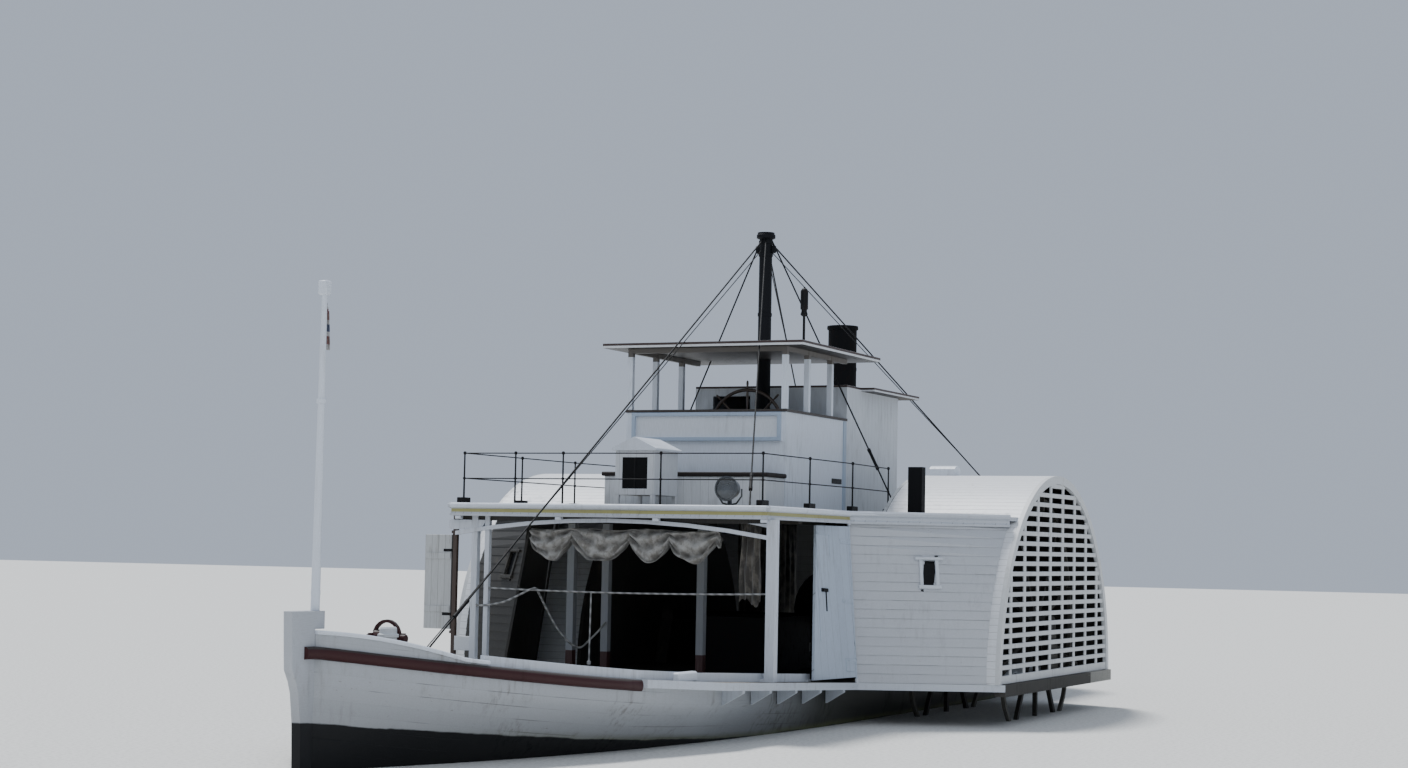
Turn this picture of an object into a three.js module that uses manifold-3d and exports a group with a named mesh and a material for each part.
// A wooden side-wheel river steamer, afloat, in millimetres.
// +X points to the bow, +Y to port and +Z up. The origin is on the centreline at
// water level, straight below the paddle shaft.
import * as THREE from 'three';
import { mergeVertices } from 'three/addons/utils/BufferGeometryUtils.js';
import Module from 'manifold-3d';

const wasm = await Module();
wasm.setup();

// Driving dimensions
const GAP = 0.3;
const DEG = Math.PI / 180;

const STEM_FRONT = 14350;
const STEM_TOP = 1730;
const STEM_HALF = 90;
const BOW_END = 13950;
const STERN_END = -9200;
const HALF_BEAM = 2350;
const HALF_BEAM_WATER = 2250;
const HULL_BOTTOM = -700;
const KEEL_BOTTOM = -900;
const KEEL_WIDTH = 140;
const DECK_Z = 620;
const GUARD_THICK = 100;
const GUARD_OUT = 2650;
const SPONSON_OUT = 4550;

const UPPER_Z = 3040;
const UPPER_THICK = 60;
const UPPER_FRONT = 6800;
const UPPER_HALF = 2390;
const UPPER_CORNER = 3720;
const UPPER_AFT = -9000;

const BOX_RADIUS = 3080;
const BOX_SHELL = 40;
const BOX_CENTRE_Z = 640;
const BOX_IN = 2300;
const BOX_OUT = 4420;
const BOX_WALL = 60;

const SHAFT_Z = 1400;
const SHAFT_R = 80;
const WHEEL_R = 2150;
const WHEEL_IN = 2560;
const WHEEL_OUT = 4240;
const FLOAT_COUNT = 10;

const HOUSE_FRONT = 3520;
const HOUSE_HALF = 1310;
const HOUSE_BACK = 1000;
const HOUSE_WALL = 50;
const SILL_Z = 4565;
const HOUSE_ROOF_Z = 5580;
const HOUSE_ROOF_THICK = 70;
const CABIN_BACK = -1400;
const CABIN_TOP_Z = 5050;

const MAST_X = 1285;
const MAST_TOP_Z = 7550;
const MAST_R = 110;
const MAST_TAPER = 0.93;
const FUNNEL_X = -2200;
const FUNNEL_R = 245;
const FUNNEL_TOP_Z = 6370;

// Colours from the photograph
const WHITE = 0xe4e6e6;
const BEIGE_WHITE = 0xcfcdc6;
const BLUE_WHITE = 0xbcc6d2;
const OXIDE_RED = 0x4a2522;
const BLACK = 0x17181a;
const GREY_WOOD = 0x77746d;
const DECK_GREY = 0x8a857b;
const CANVAS = 0xb9b4a8;

// Solids from three.js shapes
function toSolid(geometry) {
  const bare = geometry.index ? geometry.toNonIndexed() : geometry.clone();
  for (const name of Object.keys(bare.attributes)) {
    if (name !== 'position') bare.deleteAttribute(name);
  }
  const merged = mergeVertices(bare, 1e-3);
  const vertProperties = new Float32Array(merged.attributes.position.array);
  const triVerts = new Uint32Array(merged.index.array);
  if (signedVolume(vertProperties, triVerts) < 0) {
    for (let i = 0; i < triVerts.length; i += 3) {
      const swap = triVerts[i + 1];
      triVerts[i + 1] = triVerts[i + 2];
      triVerts[i + 2] = swap;
    }
  }
  return new wasm.Manifold(new wasm.Mesh({ numProp: 3, vertProperties, triVerts }));
}

function signedVolume(points, triangles) {
  const a = new THREE.Vector3();
  const b = new THREE.Vector3();
  const c = new THREE.Vector3();
  let sum = 0;
  for (let i = 0; i < triangles.length; i += 3) {
    a.fromArray(points, 3 * triangles[i]);
    b.fromArray(points, 3 * triangles[i + 1]);
    c.fromArray(points, 3 * triangles[i + 2]);
    sum += a.dot(b.cross(c));
  }
  return sum;
}

function toGeometry(solid) {
  const mesh = solid.getMesh();
  const geometry = new THREE.BufferGeometry();
  geometry.setAttribute('position', new THREE.BufferAttribute(new Float32Array(mesh.vertProperties), 3));
  geometry.setIndex(new THREE.BufferAttribute(new Uint32Array(mesh.triVerts), 1));
  geometry.computeVertexNormals();
  return geometry;
}

function join(...solids) {
  return solids.flat().reduce((all, solid) => all.add(solid));
}

function cut(solid, ...tools) {
  return tools.flat().reduce((rest, tool) => rest.subtract(tool), solid);
}

function box(x0, x1, y0, y1, z0, z1) {
  const geometry = new THREE.BoxGeometry(x1 - x0, y1 - y0, z1 - z0);
  geometry.translate((x0 + x1) / 2, (y0 + y1) / 2, (z0 + z1) / 2);
  return toSolid(geometry);
}

function extruded(points, depth, matrix, holes = []) {
  const shape = new THREE.Shape(points.map(([u, v]) => new THREE.Vector2(u, v)));
  for (const hole of holes) {
    shape.holes.push(new THREE.Path(hole.map(([u, v]) => new THREE.Vector2(u, v))));
  }
  const geometry = new THREE.ExtrudeGeometry(shape, { depth, bevelEnabled: false });
  geometry.applyMatrix4(matrix);
  return toSolid(geometry);
}

// Outline in plan, from z0 up to z1
function plate(points, z0, z1, holes = []) {
  return extruded(points, z1 - z0, new THREE.Matrix4().makeTranslation(0, 0, z0), holes);
}

// Outline of [x, z] points seen from the side, from y0 to y1
function sidePlate(points, y0, y1, holes = []) {
  const matrix = new THREE.Matrix4().makeBasis(
    new THREE.Vector3(1, 0, 0),
    new THREE.Vector3(0, 0, 1),
    new THREE.Vector3(0, -1, 0),
  );
  matrix.setPosition(0, y1, 0);
  return extruded(points, y1 - y0, matrix, holes);
}

// Outline of [y, z] points seen from ahead, from x0 to x1
function frontPlate(points, x0, x1, holes = []) {
  const matrix = new THREE.Matrix4().makeBasis(
    new THREE.Vector3(0, 1, 0),
    new THREE.Vector3(0, 0, 1),
    new THREE.Vector3(1, 0, 0),
  );
  matrix.setPosition(x0, 0, 0);
  return extruded(points, x1 - x0, matrix, holes);
}

function rod(from, to, radius, sides = 12, endRadius = radius) {
  const a = new THREE.Vector3(...from);
  const b = new THREE.Vector3(...to);
  const geometry = new THREE.CylinderGeometry(endRadius, radius, a.distanceTo(b), sides);
  const direction = b.clone().sub(a).normalize();
  geometry.applyQuaternion(new THREE.Quaternion().setFromUnitVectors(new THREE.Vector3(0, 1, 0), direction));
  const middle = a.add(b).multiplyScalar(0.5);
  geometry.translate(middle.x, middle.y, middle.z);
  return toSolid(geometry);
}

// Skin over sections that have the same number of [x, y, z] points
function loft(sections) {
  const count = sections[0].length;
  const positions = sections.flat(2);
  const triangles = [];
  for (let s = 0; s + 1 < sections.length; s += 1) {
    for (let i = 0; i < count; i += 1) {
      const a = s * count + i;
      const b = s * count + (i + 1) % count;
      triangles.push(a, b, b + count, a, b + count, a + count);
    }
  }
  const last = (sections.length - 1) * count;
  for (const [a, b, c] of capTriangles(sections[0])) triangles.push(a, c, b);
  for (const [a, b, c] of capTriangles(sections.at(-1))) triangles.push(last + a, last + b, last + c);
  const geometry = new THREE.BufferGeometry();
  geometry.setAttribute('position', new THREE.Float32BufferAttribute(positions, 3));
  geometry.setIndex(triangles);
  return toSolid(geometry);
}

// Triangles over an end section, in the two directions where it is widest
function capTriangles(section) {
  const spans = [0, 1, 2].map((axis) => {
    const values = section.map((point) => point[axis]);
    return Math.max(...values) - Math.min(...values);
  });
  const narrow = spans.indexOf(Math.min(...spans));
  const [u, v] = [0, 1, 2].filter((axis) => axis !== narrow);
  const flat = section.map((point) => new THREE.Vector2(point[u], point[v]));
  const turned = THREE.ShapeUtils.isClockWise(flat);
  if (turned) flat.reverse();
  const faces = THREE.ShapeUtils.triangulateShape(flat, []);
  if (!turned) return orient(section, faces);
  return orient(section, faces.map((face) => face.map((i) => section.length - 1 - i)));
}

// Faces turned to follow the order of the section's own points
function orient(section, faces) {
  const normal = new THREE.Vector3();
  for (let i = 0; i < section.length; i += 1) {
    const a = new THREE.Vector3(...section[i]);
    const b = new THREE.Vector3(...section[(i + 1) % section.length]);
    normal.add(a.cross(b));
  }
  return faces.map(([i, j, k]) => {
    const a = new THREE.Vector3(...section[i]);
    const b = new THREE.Vector3(...section[j]).sub(a);
    const c = new THREE.Vector3(...section[k]).sub(a);
    return b.cross(c).dot(normal) > 0 ? [i, j, k] : [i, k, j];
  });
}

// A strip along a plan path, with a section of [outward, z] points and mitred corners
function strip(path, section) {
  const rings = path.map(([x, y], i) => {
    const before = path[Math.max(i - 1, 0)];
    const after = path[Math.min(i + 1, path.length - 1)];
    const ahead = new THREE.Vector2(after[0] - x, after[1] - y).normalize();
    const behind = new THREE.Vector2(x - before[0], y - before[1]).normalize();
    if (i === 0) behind.copy(ahead);
    if (i === path.length - 1) ahead.copy(behind);
    const along = ahead.clone().add(behind).normalize();
    const outward = new THREE.Vector2(along.y, -along.x);
    const stretch = 1 / along.dot(ahead);
    return section.map(([out, z]) => [x + outward.x * out * stretch, y + outward.y * out * stretch, z]);
  });
  return loft(rings);
}

function arc(cx, cy, radius, from, to, steps) {
  return Array.from({ length: steps + 1 }, (_, i) => {
    const angle = (from + ((to - from) * i) / steps) * DEG;
    return [cx + radius * Math.cos(angle), cy + radius * Math.sin(angle)];
  });
}

function mirrored(solid) {
  return solid.mirror([0, 1, 0]);
}

const steamer = new THREE.Group();

function place(name, solid, color, roughness = 0.7, metalness = 0) {
  const material = new THREE.MeshStandardMaterial({ color, roughness, metalness });
  const mesh = new THREE.Mesh(toGeometry(solid), material);
  mesh.name = name;
  steamer.add(mesh);
}

// A piece made for the port side, and its mirror image to starboard
function placePair(name, solid, color, roughness, metalness) {
  place(`${name}_port`, solid, color, roughness, metalness);
  place(`${name}_stbd`, mirrored(solid), color, roughness, metalness);
}

// Hull form: heights and half breadths along the length
function sheer(x) {
  const forward = 0.043 * Math.max(0, x - 3900) + 1.02e-5 * Math.max(0, x - 8500) ** 2;
  const aft = 0.03 * Math.max(0, -7300 - x);
  return DECK_Z + forward + aft;
}

function deckHalf(x) {
  if (x > 7000) return HALF_BEAM * (1 - ((x - 7000) / 7060) ** 2.8);
  if (x < -5000) return HALF_BEAM * (1 - ((-5000 - x) / 4600) ** 2.6);
  return HALF_BEAM;
}

function waterHalf(x) {
  if (x > 3000) return HALF_BEAM_WATER * (1 - ((x - 3000) / 11100) ** 1.9);
  if (x < -3000) return HALF_BEAM_WATER * (1 - ((-3000 - x) / 6900) ** 2);
  return HALF_BEAM_WATER;
}

function hullBottom(x) {
  return x < -6000 ? HULL_BOTTOM + 900 * ((-6000 - x) / 3200) ** 2 : HULL_BOTTOM;
}

const HULL_STATIONS = [
  STERN_END, -8800, -8300, -7300, -6800, -6000, -5000, -3000, 0, 3000, 3900, 7000, 8500, 10000,
  11000, 12000, 12800, 13400, BOW_END,
];

function hullSection(x) {
  const bottom = hullBottom(x);
  const water = waterHalf(x);
  const deck = deckHalf(x);
  const top = sheer(x);
  const side = top - 260;
  const turn = bottom + 0.45 * (0.3 * side - bottom);
  const half = [
    [0.55 * water, bottom + 40],
    [0.93 * water, turn],
    [0.5 * (water + deck), Math.max(0.3 * side, turn + 30)],
    [deck, side],
    [deck, top],
  ];
  const right = half.map(([y, z]) => [x, y, z]);
  const left = half.map(([y, z]) => [x, -y, z]).reverse();
  return [[x, 0, bottom], ...right, ...left];
}

const RUDDER_X = -8420;
const STOCK_R = 50;

function makeHull() {
  const body = loft(HULL_STATIONS.map(hullSection));
  const trunk = rod([RUDDER_X, 0, -900], [RUDDER_X, 0, 1200], STOCK_R + 12, 20);
  place('hull', cut(body, trunk, STAYS.map(stayRoom)), WHITE, 0.65);
}

function makeKeel() {
  const aftStations = HULL_STATIONS.filter((x) => x <= -6000 && x >= -8300).reverse();
  const profile = [
    [14090, KEEL_BOTTOM + 60],
    [14090, HULL_BOTTOM - GAP],
    [-6000, HULL_BOTTOM - GAP],
    ...aftStations.slice(1).map((x) => [x, hullBottom(x) - GAP - 1]),
    [-8300, -790],
    [-9050, -790],
    [-9050, KEEL_BOTTOM],
    [14010, KEEL_BOTTOM],
  ];
  place('keel', sidePlate(profile, -KEEL_WIDTH / 2, KEEL_WIDTH / 2), BLACK, 0.8);
}

// Stem, with a head that reaches aft over the bulwarks' caps
function makeStem() {
  const headUnder = 1535;
  const headAft = 13770;
  const profile = [
    [BOW_END + GAP, HULL_BOTTOM],
    [14100, HULL_BOTTOM],
    [14117, 126],
    [14139, 539],
    [14187, 848],
    [14235, 974],
    [14314, 1103],
    [STEM_FRONT, STEM_TOP],
    [headAft, STEM_TOP],
    [headAft, headUnder],
    [BOW_END + GAP, headUnder],
  ];
  place('stem', sidePlate(profile, -STEM_HALF, STEM_HALF), WHITE, 0.65);
}

// Raised side planking at the bow, with its capping
const BULWARK_AFT = 12280;

function capHeight(x) {
  return 1125 + 405 * Math.sin((Math.PI / 2) * ((x - 12270) / 1900));
}

function makeBulwarks() {
  const steps = 7;
  const rings = Array.from({ length: steps + 1 }, (_, i) => {
    const x = BULWARK_AFT + ((BOW_END - BULWARK_AFT) * i) / steps;
    const out = hullSide(x);
    const foot = hullTop(x) + GAP;
    const top = Math.max(capHeight(x), foot + 60);
    const section = [
      [out - 60, foot], [out, foot], [out, top - 45], [out + 25, top - 45],
      [out + 25, top], [out - 85, top], [out - 85, top - 45], [out - 60, top - 45],
    ];
    return section.map(([y, z]) => [x, y, z]);
  });
  placePair('bulwark', loft(rings), WHITE, 0.65);
}

// Straight runs between the hull's stations, so that what stands on the hull follows its faces
function alongStations(x, value) {
  const next = HULL_STATIONS.findIndex((station) => station >= x);
  if (next <= 0) return value(HULL_STATIONS[0]);
  const a = HULL_STATIONS[next - 1];
  const b = HULL_STATIONS[next];
  return value(a) + ((value(b) - value(a)) * (x - a)) / (b - a);
}

function hullTop(x) {
  return alongStations(x, sheer);
}

function hullSide(x) {
  return alongStations(x, deckHalf);
}

// Rubbing strakes, with their tapered ends on the stem's sides
function makeStrakes() {
  const onHull = HULL_STATIONS.filter((x) => x > 10300);
  const onStem = [BOW_END + 15, 14110, 14150];
  const rings = [10000, 10300, ...onHull, ...onStem].map((x) => {
    const reach = { 10000: 30, 14150: 45 }[x] ?? 80;
    const middle = hullTop(Math.min(x, BOW_END)) - 75;
    const side = (x > BOW_END ? STEM_HALF : hullSide(x)) + GAP;
    const section = [
      [side, middle - 75], [side + reach * 0.75, middle - 50], [side + reach, middle],
      [side + reach * 0.75, middle + 50], [side, middle + 75],
    ];
    return section.map(([y, z]) => [x, y, z]);
  });
  placePair('rubbing_strake', loft(rings), OXIDE_RED, 0.55);
}

// Guards: the narrow side decks outside the hull, widening to the paddle boxes
function guardRing(x, out) {
  const top = hullTop(x);
  const inner = hullSide(x) + GAP;
  return [
    [x, inner, top - GUARD_THICK], [x, out, top - GUARD_THICK],
    [x, out, top], [x, inner, top],
  ];
}

function knee(x) {
  const top = hullTop(x) - GUARD_THICK + 5;
  const inner = hullSide(x) + GAP + 6;
  const profile = [[inner, top], [GUARD_OUT - 30, top], [GUARD_OUT - 30, top - 40], [inner, top - 200]];
  return frontPlate(profile, x - 40, x + 40);
}

const SPONSON_END = 3000;

function makeGuards() {
  const forward = [
    guardRing(SPONSON_END, SPONSON_OUT),
    guardRing(3900, GUARD_OUT),
    guardRing(7000, GUARD_OUT),
    guardRing(8500, GUARD_OUT - 40),
    guardRing(9990, hullSide(9990) + 80),
  ];
  const aft = [
    guardRing(-8300, hullSide(-8300) + 60),
    guardRing(-7300, hullSide(-7300) + 240),
    guardRing(-6800, hullSide(-6800) + 280),
    guardRing(-6000, GUARD_OUT - 40),
    guardRing(-5000, GUARD_OUT),
    guardRing(-3900, GUARD_OUT),
    guardRing(-SPONSON_END, SPONSON_OUT),
  ];
  const forwardKnees = [4400, 5300, 6200, 7100, 8000].map(knee);
  const aftKnees = [-5600, -4900, -4200].map(knee);
  const pad = doorPad('foot', -70, -GAP);
  placePair('guard_fore', join(loft(forward), forwardKnees, pad), WHITE, 0.65);
  placePair('guard_aft', join(loft(aft), aftKnees), WHITE, 0.65);
}

// Outer beams that carry the paddle boxes, each with the shaft's outer bearing
const BEARING_BORE = SHAFT_R + 0.85;

function makeBeams() {
  const beam = box(-SPONSON_END + GAP, SPONSON_END - GAP, 4390, SPONSON_OUT, DECK_Z - 170, DECK_Z);
  const ledge = box(-420, 420, 4300, 4400, DECK_Z - 170, DECK_Z);
  const pedestal = bearingStand(4300, 4400, DECK_Z - 10);
  const bore = rod([0, 4200, SHAFT_Z], [0, 4500, SHAFT_Z], BEARING_BORE, 24);
  placePair('paddle_beam', cut(join(beam, ledge, pedestal), bore), GREY_WOOD, 0.9);
}

// A bearing stand of [x, z] outline between two planes across the ship
function bearingStand(y0, y1, foot) {
  const profile = [
    [-380, foot], [380, foot], [150, SHAFT_Z - 60],
    ...arc(0, SHAFT_Z, 150, 0, 180, 8), [-150, SHAFT_Z - 60],
  ];
  return sidePlate(profile, y0, y1);
}

// Paddle boxes
function boxOutline(radius, foot, steps = 24) {
  return [[radius, foot], ...arc(0, BOX_CENTRE_Z, radius, 0, 180, steps), [-radius, foot]];
}

function archX(z) {
  return Math.sqrt(BOX_RADIUS ** 2 - Math.max(0, z - BOX_CENTRE_Z) ** 2);
}

function makeBoxes() {
  const foot = DECK_Z + GAP;
  const outline = [
    ...boxOutline(BOX_RADIUS, foot),
    ...boxOutline(BOX_RADIUS - BOX_SHELL, foot).reverse(),
  ];
  placePair('paddle_box', sidePlate(outline, BOX_IN + GAP, BOX_OUT), WHITE, 0.6);
  const wall = sidePlate(boxOutline(BOX_RADIUS, foot), BOX_IN - BOX_WALL, BOX_IN);
  const stand = bearingStand(BOX_IN - 260, BOX_IN - 20, foot);
  const bore = rod([0, BOX_IN - 400, SHAFT_Z], [0, BOX_IN + 100, SHAFT_Z], BEARING_BORE, 24);
  placePair('box_inner_wall', cut(join(wall, stand), bore), WHITE, 0.65);
}

const LATTICE_ROWS = 19;
const LATTICE_PITCH_X = 690;
const LATTICE_PITCH_Z = 150;
const SLOT_LENGTH = 520;
const SLOT_HEIGHT = 85;
const RIM_WIDTH = 120;

function latticeSlots(foot) {
  const slots = [];
  const inner = BOX_RADIUS - RIM_WIDTH;
  for (let row = 0; row < LATTICE_ROWS; row += 1) {
    const z0 = foot + 120 + row * LATTICE_PITCH_Z;
    const z1 = z0 + SLOT_HEIGHT;
    const limit = Math.sqrt(Math.max(0, inner ** 2 - (z1 - BOX_CENTRE_Z) ** 2));
    for (let column = -4; column <= 4; column += 1) {
      const middle = column * LATTICE_PITCH_X;
      const x0 = Math.max(middle - SLOT_LENGTH / 2, -limit);
      const x1 = Math.min(middle + SLOT_LENGTH / 2, limit);
      if (x1 - x0 > 90) slots.push(box(x0, x1, BOX_OUT - 20, BOX_OUT + 90, z0, z1));
    }
  }
  return slots;
}

function makeLattices() {
  const foot = DECK_Z + GAP;
  const outline = boxOutline(BOX_RADIUS, foot);
  const panel = sidePlate(outline, BOX_OUT + GAP, BOX_OUT + 60);
  placePair('box_lattice', cut(panel, latticeSlots(foot)), WHITE, 0.65);
}

// Paddle wheels and shaft
function wheelRing(radius, y0, y1) {
  const steps = 20;
  const outer = arc(0, SHAFT_Z, radius, 0, 360 - 360 / steps, steps - 1);
  const hole = arc(0, SHAFT_Z, radius - 70, 0, 360 - 360 / steps, steps - 1);
  return sidePlate(outer, y0, y1, [hole]);
}

function turned(solid, degrees) {
  return solid.translate([0, 0, -SHAFT_Z]).rotate([0, degrees, 0]).translate([0, 0, SHAFT_Z]);
}

function makeWheels() {
  const sides = [WHEEL_IN + 120, WHEEL_OUT - 120];
  const hub = rod([0, WHEEL_IN + 40, SHAFT_Z], [0, WHEEL_OUT - 40, SHAFT_Z], 200, 12);
  const arm = sides.map((y) => box(-40, 40, y - 30, y + 30, SHAFT_Z + 100, SHAFT_Z + WHEEL_R - 60));
  const float = box(-20, 20, WHEEL_IN, WHEEL_OUT, SHAFT_Z + WHEEL_R - 380, SHAFT_Z + WHEEL_R);
  const rings = sides.map((y) => wheelRing(WHEEL_R - 120, y - 28, y + 28));
  const parts = [hub, ...rings];
  for (let i = 0; i < FLOAT_COUNT; i += 1) {
    parts.push(...[...arm, float].map((piece) => turned(piece, (360 * i) / FLOAT_COUNT)));
  }
  const bore = rod([0, 0, SHAFT_Z], [0, 5000, SHAFT_Z], SHAFT_R + GAP, 24);
  placePair('paddle_wheel', cut(join(parts), bore), GREY_WOOD, 0.85);
  place('paddle_shaft', rod([0, -4395, SHAFT_Z], [0, 4395, SHAFT_Z], SHAFT_R, 24), BLACK, 0.5, 0.6);
}

// Wing walls: the boarded fronts and backs of the paddle boxes, with a small window
const WING_FOOT = [3880, 2620];
const WING_HEAD = [3690, 2370];
const WING_THICK = 45;
const WING_RIGHT_Y = 4290;
const WING_TOP_Z = UPPER_Z - UPPER_THICK - GAP;

function wingRing(z) {
  const t = (z - DECK_Z) / (WING_TOP_Z - DECK_Z);
  const start = new THREE.Vector2(...WING_FOOT).lerp(new THREE.Vector2(...WING_HEAD), t);
  const barrel = archX(z - 12) + 2;
  const end = new THREE.Vector2(barrel, WING_RIGHT_Y);
  const along = end.clone().sub(start).normalize();
  const inward = new THREE.Vector2(-along.y, along.x);
  const startIn = start.clone().addScaledVector(inward, WING_THICK);
  const reach = (barrel - startIn.x) / along.x;
  const endIn = startIn.clone().addScaledVector(along, reach);
  return [start, end, endIn, startIn].map((p) => [p.x, p.y, z]);
}

function makeWings() {
  const heights = Array.from({ length: 9 }, (_, i) => DECK_Z + GAP + ((WING_TOP_Z - DECK_Z - GAP) * i) / 8);
  const wall = loft(heights.map(wingRing));
  const window = box(2600, 4200, 3360, 3520, 2035, 2365);
  placePair('wing_wall_fore', cut(wall, window), BEIGE_WHITE, 0.75);
  placePair('wing_wall_aft', wall.mirror([1, 0, 0]), BEIGE_WHITE, 0.75);
}

// Side doors, hinged on a leaning edge beside the wing walls
const DOOR_AXIS_FOOT = [3915, 2625, 680];
const DOOR_AXIS_HEAD = [3772, 2418, 2868];
const DOOR_WIDTH_FOOT = 1250;
const DOOR_WIDTH_HEAD = 970;
const DOOR_THICK = 40;
const PIN_R = 14;

function doorFrame() {
  const foot = new THREE.Vector3(...DOOR_AXIS_FOOT);
  const up = new THREE.Vector3(...DOOR_AXIS_HEAD).sub(foot);
  const height = up.length();
  up.normalize();
  const forward = new THREE.Vector3(1, -0.13, 0);
  forward.addScaledVector(up, -forward.dot(up)).normalize();
  const outward = new THREE.Vector3().crossVectors(up, forward);
  return { foot, up, forward, outward, height };
}

function makeSideDoors() {
  const { foot, up, forward, outward, height } = doorFrame();
  const matrix = new THREE.Matrix4().makeBasis(forward, up, outward.clone().negate());
  matrix.setPosition(foot);
  const rise = -forward.z / up.z;
  const outline = [
    [16, 20], [DOOR_WIDTH_FOOT, 20 + rise * DOOR_WIDTH_FOOT],
    [DOOR_WIDTH_HEAD, height - 20 + rise * DOOR_WIDTH_HEAD], [16, height - 20],
  ];
  const leaf = extruded(outline, DOOR_THICK, matrix);
  const top = foot.clone().addScaledVector(up, height);
  const barrel = rod(foot.toArray(), top.toArray(), PIN_R, 12);
  const straps = [0.15, 0.5, 0.85].map((t) => {
    const at = foot.clone().addScaledVector(up, height * t);
    const middle = at.clone().addScaledVector(outward, -8);
    return rod(middle.toArray(), middle.clone().addScaledVector(forward, 60).toArray(), 6, 6);
  });
  placePair('side_door', join(leaf, barrel, straps), BLUE_WHITE, 0.6);
}

// Round pads on the hinge line that hold the ends of the door's pin
function doorPad(end, low, high) {
  const { foot, up, height } = doorFrame();
  const at = end === 'head' ? foot.clone().addScaledVector(up, height) : foot;
  const a = at.clone().addScaledVector(up, low);
  const b = at.clone().addScaledVector(up, high);
  return rod(a.toArray(), b.toArray(), 26, 12);
}

// Upper deck with its edge
function upperOutline() {
  const side = [
    [UPPER_FRONT, UPPER_HALF], [UPPER_CORNER, UPPER_HALF], [2040, 4400],
    [-2040, 4400], [-UPPER_CORNER, UPPER_HALF], [-7600, 2250], [-8500, 1750], [UPPER_AFT, 1000],
  ];
  return [...side, ...side.map(([x, y]) => [x, -y]).reverse()];
}

function boxRoom(grow) {
  return sidePlate(boxOutline(BOX_RADIUS + grow, DECK_Z), BOX_IN - BOX_WALL - grow, 4700);
}

function makeUpperDeck() {
  const holes = [arc(FUNNEL_X, 0, FUNNEL_R + 25, 0, 345, 23)];
  const deck = plate(upperOutline(), UPPER_Z - UPPER_THICK, UPPER_Z, holes);
  const room = boxRoom(GAP + 2);
  const pad = doorPad('head', GAP, 90);
  const edges = deckEdges();
  const whole = join(cut(deck, room, mirrored(room)), pad, mirrored(pad), edges);
  place('upper_deck', cut(whole, STAYS.map(stayRoom)), WHITE, 0.6);
}

const EDGE_SECTION = [
  [-2, UPPER_Z - 150], [35, UPPER_Z - 150], [45, UPPER_Z - 120], [25, UPPER_Z - 95], [25, UPPER_Z - 55],
  [60, UPPER_Z - 30], [70, UPPER_Z + 5], [50, UPPER_Z + 32], [-2, UPPER_Z + 32],
];

function edgePath(side) {
  return side.map(([x, y]) => [x, -y]);
}

function deckEdges() {
  const half = [[2112, 4314], [UPPER_CORNER, UPPER_HALF], [UPPER_FRONT, UPPER_HALF]];
  const fore = [...edgePath(half), ...half.reverse()];
  const aftHalf = [[UPPER_AFT, 1000], [-8500, 1750], [-7600, 2250], [-UPPER_CORNER, UPPER_HALF], [-2112, 4314]];
  const aft = [...edgePath(aftHalf).reverse(), ...aftHalf].reverse();
  return [strip(fore, EDGE_SECTION), strip(aft, EDGE_SECTION)];
}

// Frames under the upper deck
const BEAM_TOP = UPPER_Z - UPPER_THICK - GAP;

function post(x, y, size, top = BEAM_TOP - 50, foot = hullTop(x - size / 2) + 6) {
  return box(x - size / 2, x + size / 2, y - size / 2, y + size / 2, foot, top);
}

// Outer posts stand on the guards and end below the deck's edge strip; the timber to
// starboard carries the shutter
function frontFrame() {
  const x = 6680;
  const outerTop = UPPER_Z - 150 - GAP;
  const header = box(x - 60, x + 5, -2387, 2387, BEAM_TOP - 150, BEAM_TOP);
  const sill = box(x - 60, x + 60, -2460, 2510, hullTop(x + 60) + GAP, hullTop(x + 60) + 40);
  const posts = [
    post(x, 2440, 130, outerTop), post(x, -2085, 90), post(x, -1890, 70), post(x, -2410, 60, outerTop),
  ];
  const knees = [
    frontPlate([[2390, 2780], [2390, 2835], [2090, 2835]], x - 40, x + 40),
    frontPlate([[-2500, 2700], [-2500, 2835], [-1900, 2835], [-2000, 2700]], x - 40, x + 40),
  ];
  const batten = arc(0, -11323, 14200, 99.7, 80.3, 8);
  const lower = batten.map(([y, z]) => [y, z - 55]).reverse();
  const arch = frontPlate([...batten, ...lower], x, x + 60);
  return [header, sill, ...posts, ...knees, arch];
}

function innerFrame() {
  const x = 5000;
  const beam = box(x - 70, x + 70, -2150, 2150, BEAM_TOP - 120, BEAM_TOP);
  const sill = box(x - 60, x + 60, -2330, 2330, hullTop(x + 60) + GAP, hullTop(x + 60) + 30);
  const posts = [-1420, -855, 660].map((y) => post(x, y, 110));
  return [beam, sill, ...posts];
}

function toeRail() {
  const stations = [4940, 7000, 8500, 10000, 11000, 12000, 12270];
  const rings = stations.map((x) => {
    const out = Math.min(hullSide(x) - 40, 2330);
    const foot = hullTop(x) + GAP;
    return [[x, out - 60, foot], [x, out, foot], [x, out, foot + 110], [x, out - 60, foot + 110]];
  });
  return loft(rings);
}

// Posts, beams and toe rails of the open fore deck, joined where they stand on each other
function makeForeFraming() {
  const rail = toeRail();
  const parts = [...frontFrame(), ...innerFrame(), rail, mirrored(rail), ...shutterPads()];
  place('fore_framing', join(parts), WHITE, 0.65);
}

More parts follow.
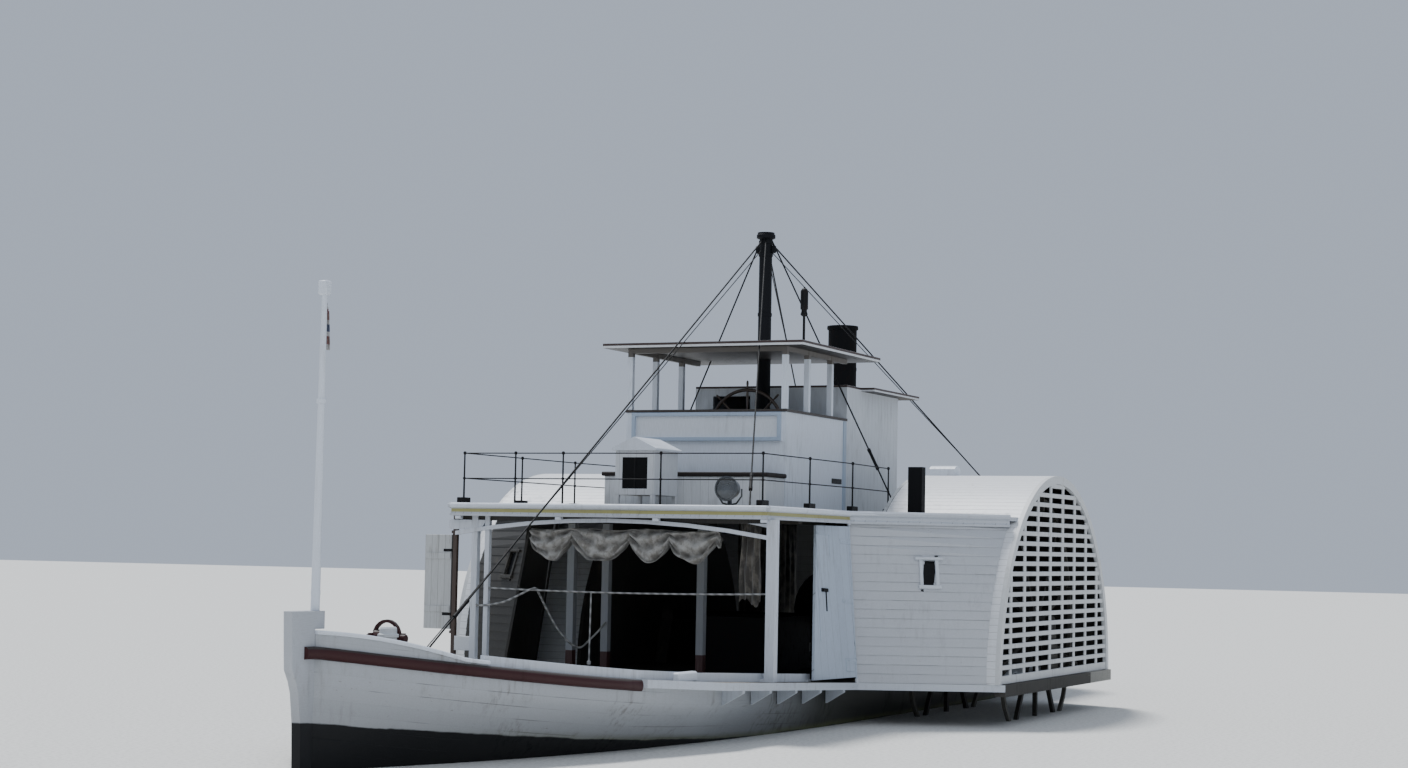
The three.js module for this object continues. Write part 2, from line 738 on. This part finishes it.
// Deckhouse aft of the boiler, open at the top where the upper deck covers it
function makeAftHouse() {
  const [x0, x1, y] = [-7300, -5350, 2050];
  const foot = sheer(x0) + GAP;
  const outer = box(x0, x1, -y, y, foot, BEAM_TOP);
  const inner = box(x0 + 50, x1 - 50, -y + 50, y - 50, foot - 50, BEAM_TOP + 50);
  const windows = [-6900, -6100].map((x) => box(x, x + 450, -y - 50, y + 50, 1750, 2350));
  const doorway = box(x1 - 100, x1 + 50, -400, 400, foot - 50, 2650);
  const aftDoor = box(x0 - 50, x0 + 100, 900, 1600, foot + 60, 2650);
  place('aft_house', cut(outer, inner, windows, doorway, aftDoor), WHITE, 0.7);
}

// Boiler, engine and funnel
function makeMachinery() {
  const shell = rod([-4900, 0, 1500], [-1900, 0, 1500], 700, 24);
  const cradles = [-4400, -2400].map((x) => box(x - 100, x + 100, -550, 550, DECK_Z + 40, 1300));
  const plinth = box(-4900, -1900, -450, 450, DECK_Z + GAP, DECK_Z + 60);
  place('boiler', join(shell, cradles, plinth), BLACK, 0.7, 0.3);
  place('engine_block', box(500, 2300, -550, 550, DECK_Z + GAP, 1450), BLACK, 0.6, 0.4);
  const stack = rod([FUNNEL_X, 0, 2050], [FUNNEL_X, 0, FUNNEL_TOP_Z], FUNNEL_R, 24);
  const rim = rod([FUNNEL_X, 0, FUNNEL_TOP_Z - 60], [FUNNEL_X, 0, FUNNEL_TOP_Z], FUNNEL_R + 25, 24);
  const bore = rod([FUNNEL_X, 0, 2500], [FUNNEL_X, 0, FUNNEL_TOP_Z + 50], FUNNEL_R - 12, 24);
  const saddle = rod([-4950, 0, 1500], [-1850, 0, 1500], 700.5, 24);
  place('funnel', cut(join(stack, rim), bore, saddle), BLACK, 0.75, 0.3);
}

// Main stays, from just under the mast head to the decks, let a little way into both
const STAY_R = 12;
const STAY_SIDES = 6;
const STAY_SEAT = 8;

function stay(name, foot, floorZ) {
  const headZ = MAST_TOP_Z - 130;
  const out = new THREE.Vector2(foot[0] - MAST_X, foot[1]);
  const start = out.clone().setLength(MAST_R * MAST_TAPER - STAY_SEAT);
  return { name, from: [MAST_X + start.x, start.y, headZ], to: [...foot, floorZ - STAY_SEAT] };
}

// The room a stay takes in what it is seated in
function stayRoom({ from, to }) {
  const along = new THREE.Vector3(...from).sub(new THREE.Vector3(...to)).setLength(GAP);
  const low = new THREE.Vector3(...to).sub(along);
  const high = new THREE.Vector3(...from).add(along);
  return rod(low.toArray(), high.toArray(), STAY_R + GAP, STAY_SIDES);
}

const STAYS = [
  stay('forestay_stbd', [10200, -950], hullTop(10215)),
  stay('forestay_port', [6650, 2080], UPPER_Z),
  stay('shroud_port', [900, 2185], UPPER_Z),
  stay('shroud_stbd', [900, -2185], UPPER_Z),
  stay('backstay_port', [-6500, 2000], UPPER_Z),
  stay('backstay_stbd', [-6500, -2000], UPPER_Z),
];

const FLOOR_Z = 3560;
const HELM = { x: 2750, y: 350, z: 4330, rim: 590, reach: 740, axle: 30 };

// Wheelhouse: boarded to the sill, open above, with the roof on posts
function makeWheelhouse() {
  const foot = UPPER_Z + GAP;
  const outer = box(HOUSE_BACK + GAP, HOUSE_FRONT, -HOUSE_HALF, HOUSE_HALF, foot, SILL_Z);
  const inner = box(HOUSE_BACK - 50, HOUSE_FRONT - HOUSE_WALL, -HOUSE_HALF + HOUSE_WALL,
    HOUSE_HALF - HOUSE_WALL, foot - 50, SILL_Z + 50);
  const sill = cut(
    box(HOUSE_BACK + GAP, HOUSE_FRONT + 15, -HOUSE_HALF - 15, HOUSE_HALF + 15, SILL_Z - 30, SILL_Z + 10),
    box(HOUSE_BACK - 50, HOUSE_FRONT - 65, -HOUSE_HALF + 65, HOUSE_HALF - 65, SILL_Z - 80, SILL_Z + 50),
  );
  const top = HOUSE_ROOF_Z - HOUSE_ROOF_THICK - GAP;
  const posts = [];
  for (const x of [3480, 2600, 1640]) {
    for (const side of [-1, 1]) {
      const y = side * (HOUSE_HALF - 40);
      posts.push(box(x - 40, x + 40, y - 40, y + 40, SILL_Z - 10, top));
    }
  }
  const rails = [-1, 1].map((side) => {
    const y = side * (HOUSE_HALF - 40);
    return box(HOUSE_BACK + GAP, 3520, y - 35, y + 35, top - 70, top);
  });
  const crossRail = box(3450, 3515, -HOUSE_HALF + 20, HOUSE_HALF - 20, top - 70, top);
  const shell = join(cut(outer, inner), sill, posts, rails, crossRail);
  const board = box(HOUSE_FRONT - 10, HOUSE_FRONT + 45, -1195, 1255, 4100, SILL_Z - 35);
  const panel = box(HOUSE_FRONT + 25, HOUSE_FRONT + 80, -1125, 1185, 4165, SILL_Z - 95);
  place('wheelhouse', join(shell, cut(board, panel)), WHITE, 0.65);
  const floor = box(HOUSE_BACK + 20, HOUSE_FRONT - HOUSE_WALL - 1, -HOUSE_HALF + HOUSE_WALL + 1,
    HOUSE_HALF - HOUSE_WALL - 1, UPPER_Z + GAP, FLOOR_Z);
  const mastRoom = rod([MAST_X, 0, 3000], [MAST_X, 0, 4000], MAST_R + 2 * GAP, 20);
  const column = box(HELM.x + 90, HELM.x + 210, HELM.y - 90, HELM.y + 90, FLOOR_Z - 10, HELM.z + 110);
  const bore = rod([HELM.x, HELM.y, HELM.z], [HELM.x + 260, HELM.y, HELM.z], HELM.axle + 0.8, 24);
  place('wheelhouse_floor', cut(join(floor, column), mastRoom, bore), DECK_GREY, 0.8);
  const roofTop = cut(
    box(390, 3730, -1640, 1640, HOUSE_ROOF_Z - HOUSE_ROOF_THICK, HOUSE_ROOF_Z),
    rod([MAST_X, 0, 5000], [MAST_X, 0, 6000], MAST_R + 2 * GAP, 20),
    STAYS.map(({ from, to }) => rod(from, to, STAY_R + 18, 8)),
  );
  place('wheelhouse_roof', roofTop, WHITE, 0.6);
}

function makeCabin() {
  const foot = UPPER_Z + GAP;
  const outer = box(CABIN_BACK, HOUSE_BACK, -HOUSE_HALF, HOUSE_HALF, foot, CABIN_TOP_Z);
  const inner = box(CABIN_BACK + HOUSE_WALL, HOUSE_BACK - HOUSE_WALL, -HOUSE_HALF + HOUSE_WALL,
    HOUSE_HALF - HOUSE_WALL, foot - 50, CABIN_TOP_Z + 50);
  const passage = box(HOUSE_BACK - 100, HOUSE_BACK + 50, -1000, -350, 3600, 4950);
  const doorway = box(CABIN_BACK - 50, CABIN_BACK + 100, 350, 1050, foot + 60, 4900);
  const pads = [[foot + 40, foot + 70 - GAP], [4900 + GAP, 4930]]
    .map(([z0, z1]) => box(CABIN_BACK - 48, CABIN_BACK + 10, 1058, 1098, z0, z1));
  place('cabin', join(cut(outer, inner, passage, doorway), pads), WHITE, 0.65);
  const roof = join(
    box(CABIN_BACK - 420, 380, -1540, 1540, CABIN_TOP_Z + GAP, CABIN_TOP_Z + 60),
    box(380, HOUSE_BACK - GAP, -HOUSE_HALF, HOUSE_HALF, CABIN_TOP_Z + GAP, CABIN_TOP_Z + 60),
  );
  place('cabin_roof', roof, WHITE, 0.65);
  const leaf = box(CABIN_BACK - 50, CABIN_BACK - 10, 352, 1060, foot + 80, 4890);
  const barrel = rod([CABIN_BACK - 30, 1078, foot + 70], [CABIN_BACK - 30, 1078, 4900], PIN_R, 12);
  const straps = [3500, 4500].map((z) => box(CABIN_BACK - 36, CABIN_BACK - 24, 1040, 1078, z - 20, z + 20));
  place('cabin_door', join(leaf, barrel, straps), WHITE, 0.65);
}

// Steering wheel on its stand
function makeHelm() {
  const ring = new THREE.TorusGeometry(HELM.rim, 26, 5, 20);
  const basis = new THREE.Matrix4().makeBasis(
    new THREE.Vector3(0, 1, 0), new THREE.Vector3(0, 0, 1), new THREE.Vector3(1, 0, 0),
  );
  basis.setPosition(HELM.x, HELM.y, HELM.z);
  ring.applyMatrix4(basis);
  const spokes = Array.from({ length: 4 }, (_, i) => {
    const angle = i * 45 * DEG;
    const dy = HELM.reach * Math.cos(angle);
    const dz = HELM.reach * Math.sin(angle);
    return rod([HELM.x, HELM.y - dy, HELM.z - dz], [HELM.x, HELM.y + dy, HELM.z + dz], 18, 6);
  });
  const hub = rod([HELM.x - 40, HELM.y, HELM.z], [HELM.x + 50, HELM.y, HELM.z], 90, 16);
  const axle = rod([HELM.x, HELM.y, HELM.z], [HELM.x + 215, HELM.y, HELM.z], HELM.axle, 24);
  place('steering_wheel', join(toSolid(ring), spokes, hub, axle), GREY_WOOD, 0.6);
}

// Low skylight in front of the wheelhouse, hutch, and the upright block ahead of the port paddle box
function makeDeckFittings() {
  const foot = UPPER_Z + GAP;
  const skylight = box(HOUSE_FRONT + GAP, 4250, -1300, 1300, foot, 3550);
  const cap = box(HOUSE_FRONT + GAP, 4290, -1340, 1340, 3545, 3610);
  place('skylight', join(skylight, cap), WHITE, 0.65);
  const [x0, x1, y0, y1] = [4500, 5300, -605, 15];
  const legs = [[x0, y0], [x0, y1 - 60], [x1 - 60, y0], [x1 - 60, y1 - 60]];
  const body = join(
    box(x0, x1, y0, y1, 3240, 3890),
    legs.map(([x, y]) => box(x, x + 60, y, y + 60, foot, 3260)),
  );
  const recess = box(x1 - 25, x1 + 20, y0 + 110, y1 - 110, 3330, 3780);
  const middle = (y0 + y1) / 2;
  const gable = [[y0 - 45, 3880], [y1 + 45, 3880], [y1 + 45, 3915], [middle, 4075], [y0 - 45, 3915]];
  const roof = frontPlate(gable, x0 - 40, x1 + 40);
  place('hutch', join(cut(body, recess), roof), WHITE, 0.65);
  place('deck_block', box(2120, 2280, 2790, 3010, foot, 3770), BLACK, 0.7);
}

const LAMP = { x: 6250, y: 1615, z: 3310, radius: 170 };

function makeSearchlight() {
  const foot = UPPER_Z + GAP;
  const stand = rod([LAMP.x, LAMP.y, foot], [LAMP.x, LAMP.y, foot + 30], 90, 16);
  const stem = rod([LAMP.x, LAMP.y, foot + 20], [LAMP.x, LAMP.y, LAMP.z - 60], 35, 12);
  const can = rod([LAMP.x - 130, LAMP.y, LAMP.z], [LAMP.x + 110, LAMP.y, LAMP.z], LAMP.radius * 0.7, 20, LAMP.radius);
  const rim = rod([LAMP.x + 100, LAMP.y, LAMP.z], [LAMP.x + 130, LAMP.y, LAMP.z], LAMP.radius, 20);
  place('searchlight', join(stand, stem, can, rim), 0xb8babc, 0.35, 0.5);
}

// Guard rail of the upper deck
const RAIL_TOP = UPPER_Z + 750;
const RAIL_SIDE = 2290;
const RAIL_FRONT = 6700;
const RAIL_END = [1450, 2180];

function makeRails() {
  const [endX, endY] = RAIL_END;
  const path = [
    [endX, -endY], [3300, -RAIL_SIDE], [5000, -RAIL_SIDE], [RAIL_FRONT, -RAIL_SIDE],
    [RAIL_FRONT, -1470], [RAIL_FRONT, -720], [RAIL_FRONT, 780],
    [RAIL_FRONT, RAIL_SIDE], [5000, RAIL_SIDE], [3300, RAIL_SIDE], [endX, endY],
  ];
  const parts = [];
  path.forEach(([x, y], i) => {
    parts.push(rod([x, y, UPPER_Z + 10], [x, y, RAIL_TOP], 16, 5));
    parts.push(box(x - 70, x + 70, y - 50, y + 50, UPPER_Z + GAP, UPPER_Z + 22));
    if (i === 0) return;
    const [lastX, lastY] = path[i - 1];
    for (const z of [RAIL_TOP - 15, UPPER_Z + 380]) {
      parts.push(rod([lastX, lastY, z], [x, y, z], 9, 4));
    }
  });
  place('deck_rail', join(parts), BLACK, 0.5, 0.4);
}

// Mast, whistle and stays
function makeMast() {
  const foot = UPPER_Z + GAP;
  const pole = rod([MAST_X, 0, foot], [MAST_X, 0, MAST_TOP_Z - 100], MAST_R, 20, MAST_R * MAST_TAPER);
  const head = rod([MAST_X, 0, MAST_TOP_Z - 110], [MAST_X, 0, MAST_TOP_Z], 150, 12);
  place('mast', cut(join(pole, head), STAYS.map(stayRoom)), BLACK, 0.6);
  const roof = HOUSE_ROOF_Z + GAP;
  const pipe = rod([900, 520, roof], [900, 520, 6250], 20, 8);
  const bell = rod([900, 520, 6230], [900, 520, 6700], 62, 14);
  const flange = rod([900, 520, roof], [900, 520, roof + 20], 60, 12);
  place('whistle', join(pipe, bell, flange), BLACK, 0.45, 0.5);
}

function makeStays() {
  for (const { name, from, to } of STAYS) place(name, rod(to, from, STAY_R, STAY_SIDES), BLACK, 0.5, 0.4);
}

// Foredeck: flagstaff on the stem head, bollard, and a small hand windlass under a hoop
const STAFF_X = 13830;
const BOLLARD_X = 12310;
const WINCH = { x: 11900, y: -270, z: 1370 };

function makeForedeck() {
  const staff = rod([STAFF_X, 0, STEM_TOP + GAP], [STAFF_X, 0, 5350], 50, 12, 30);
  const truck = box(STAFF_X - 55, STAFF_X + 55, -55, 55, 5200, 5360);
  place('flagstaff', join(staff, truck), WHITE, 0.65);
  const bollardFoot = hullTop(BOLLARD_X + 100) + GAP;
  const bollard = join(
    rod([BOLLARD_X, 0, bollardFoot], [BOLLARD_X, 0, 1520], 100, 16),
    rod([BOLLARD_X, 0, 1400], [BOLLARD_X, 0, 1440], 122, 16),
  );
  place('bollard', bollard, WHITE, 0.65);
  const { x, y, z } = WINCH;
  const base = hullTop(x + 120) + GAP;
  const cheeks = [-160, 160].map((side) => {
    return box(x - 120, x + 120, y + side - 25, y + side + 25, base, z + 60);
  });
  const bed = box(x - 120, x + 120, y - 185, y + 185, base, base + 40);
  const shaft = rod([x, y - 260, z], [x, y + 260, z], 50, 16);
  const barrel = rod([x, y - 150, z], [x, y + 150, z], 100, 16);
  const hoop = frontPlate([...arc(y, z + 35, 185, 0, 180, 10), ...arc(y, z + 35, 150, 180, 0, 10)], x - 25, x + 25);
  place('windlass', join(cheeks, bed, shaft, barrel, hoop), OXIDE_RED, 0.6);
}

// Rudder, hung under the counter on a stock that comes up through the hull
function makeRudder() {
  const blade = sidePlate([
    [-9150, -760], [-8400, -760], [-8400, -230], [-8800, -45], [-9000, 20], [-9150, -60],
  ], -25, 25);
  const deckZ = hullTop(RUDDER_X);
  const stock = rod([RUDDER_X, 0, -760], [RUDDER_X, 0, deckZ + 250], STOCK_R, 20);
  const heel = rod([RUDDER_X, 0, -790 + GAP], [RUDDER_X, 0, -740], 35, 12);
  const tiller = box(RUDDER_X - 40, RUDDER_X + 900, -30, 30, deckZ + 170, deckZ + 230);
  place('rudder', join(blade, stock, heel, tiller), OXIDE_RED, 0.7);
}

// Furled canvas under the front of the upper deck
function makeCanvas() {
  const top = 2900;
  const swags = 5;
  const [y0, y1] = [-1250, 1950];
  const bottom = [];
  for (let i = 0; i <= swags * 4; i += 1) {
    const y = y1 + ((y0 - y1) * i) / (swags * 4);
    const sag = Math.abs(Math.sin((Math.PI * i) / 4));
    bottom.push([y, 2380 - 300 * sag]);
  }
  place('furled_canvas', frontPlate([[y0, top], [y1, top], ...bottom], 6470, 6620 - GAP), CANVAS, 0.95);
}

// Narrow shutter on the starboard corner, standing open
const SHUTTER_AXIS = [6650, -2468];
const SHUTTER_SPAN = [1270, 2640];

function shutterPads() {
  const [x, y] = SHUTTER_AXIS;
  const [z0, z1] = SHUTTER_SPAN;
  return [[z0 - 40, z0 - GAP], [z1 + GAP, z1 + 40]]
    .map(([a, b]) => box(x - 22, x + 22, y - 22, -2400, a, b));
}

function makeShutter() {
  const axis = SHUTTER_AXIS;
  const [z0, z1] = SHUTTER_SPAN;
  const leaf = box(axis[0] - 15, axis[0] + 15, axis[1] - 450, axis[1] - 18, z0 + 20, z1 - 20);
  const barrel = rod([...axis, z0], [...axis, z1], PIN_R, 12);
  const straps = [1500, 2400].map((z) => box(axis[0] - 6, axis[0] + 6, axis[1] - 40, axis[1], z - 20, z + 20));
  place('shutter_stbd', join(leaf, barrel, straps), WHITE, 0.65);
}

makeHull();
makeKeel();
makeStem();
makeBulwarks();
makeStrakes();
makeGuards();
makeBeams();
makeBoxes();
makeLattices();
makeWheels();
makeWings();
makeSideDoors();
makeUpperDeck();
makeForeFraming();
makeAftHouse();
makeMachinery();
makeWheelhouse();
makeCabin();
makeHelm();
makeDeckFittings();
makeSearchlight();
makeRails();
makeMast();
makeStays();
makeForedeck();
makeRudder();
makeCanvas();
makeShutter();

export default steamer;
